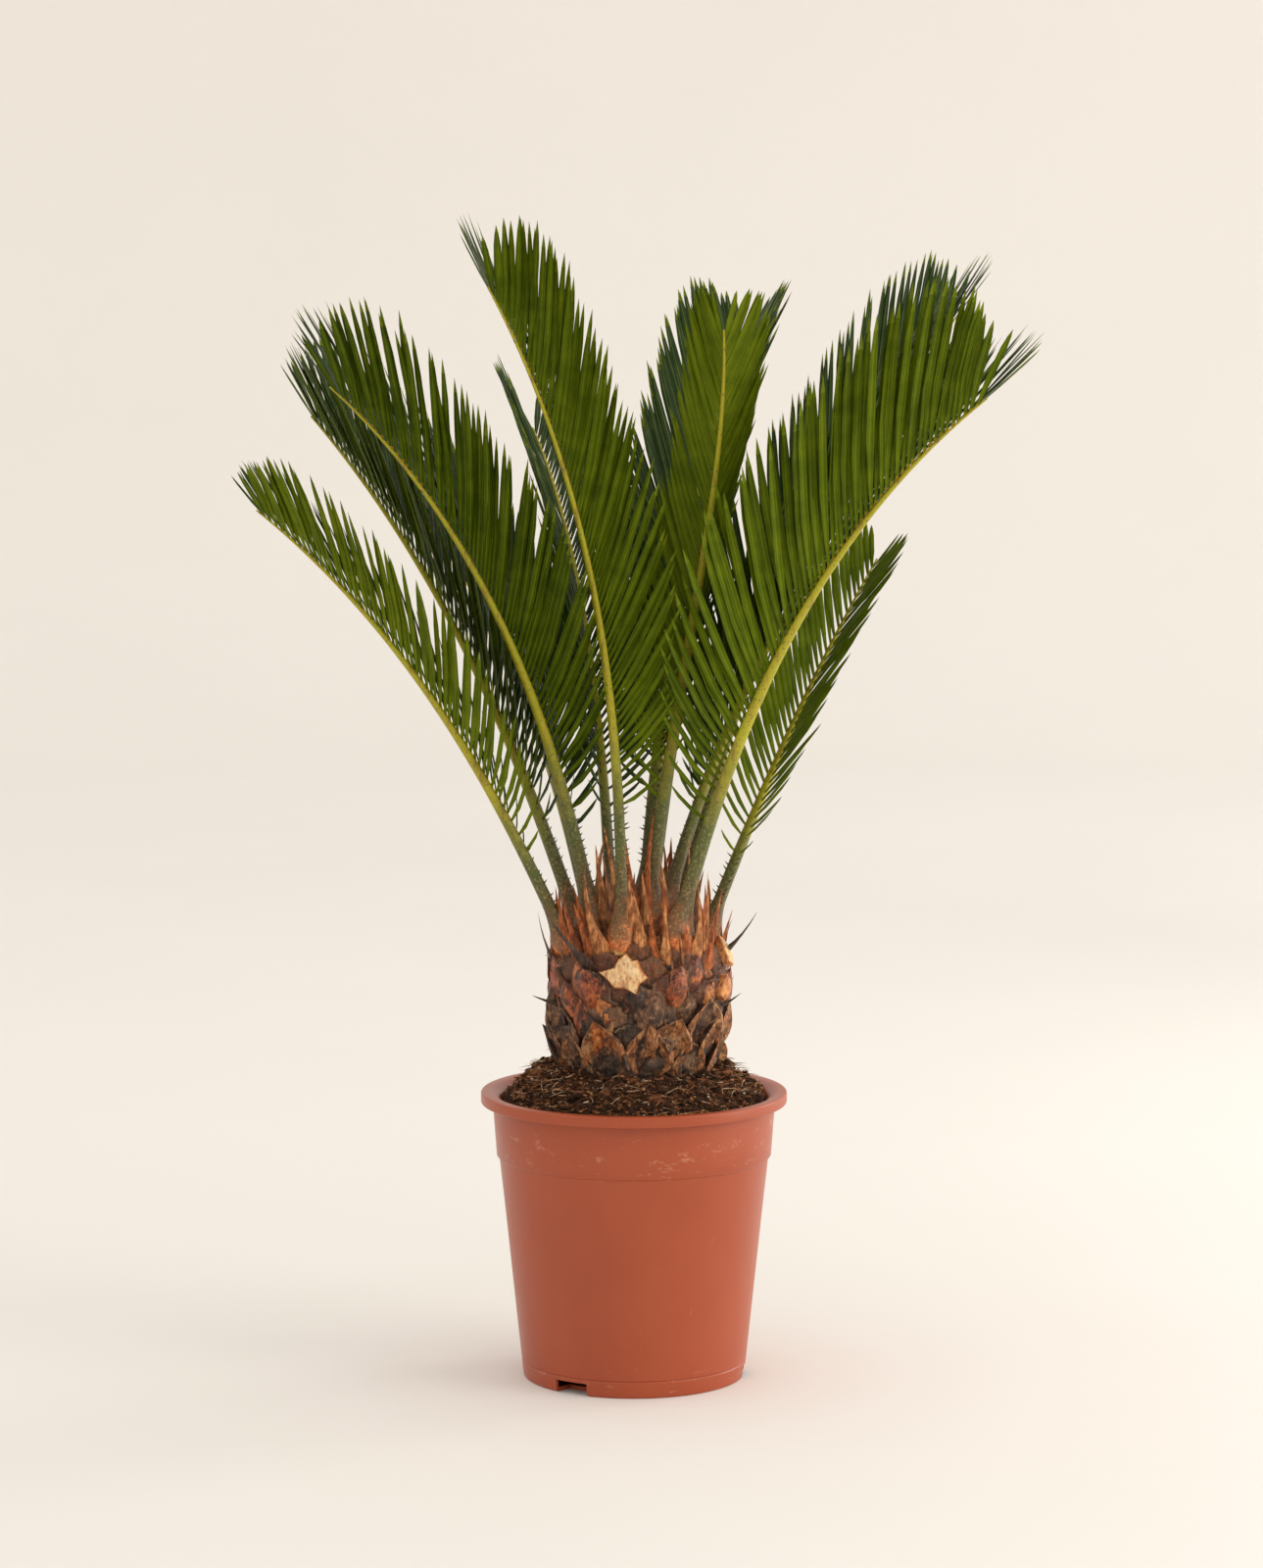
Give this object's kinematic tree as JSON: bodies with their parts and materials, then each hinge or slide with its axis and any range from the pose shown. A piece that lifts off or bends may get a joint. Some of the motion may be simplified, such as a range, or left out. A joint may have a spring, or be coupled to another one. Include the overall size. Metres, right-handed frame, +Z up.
{
  "type": "potted sago palm",
  "caption": "Young sago palm with a scaly trunk and a crown of stiff feather-like fronds, growing in compost in a round tapered nursery pot.",
  "frame": {"origin": "middle of the pot's flat underside, where it stands on the floor", "axes": "+Z up along the pot's axis, -Y towards the side that the picture shows, +X to its right"},
  "size_m": [0.4996, 0.322, 0.7214],
  "materials": {
    "pot": "satin",
    "soil": "matte",
    "trunk": "matte",
    "fronds": "satin"
  },
  "bodies": {
    "root": {"pot": "pot", "soil": "soil", "trunk": "trunk", "frond_01": "fronds", "frond_02": "fronds", "frond_03": "fronds", "frond_04": "fronds", "frond_05": "fronds", "frond_06": "fronds", "frond_07": "fronds", "frond_08": "fronds", "frond_09": "fronds", "frond_10": "fronds", "frond_11": "fronds", "frond_12": "fronds"}
  },
  "joints": []
}
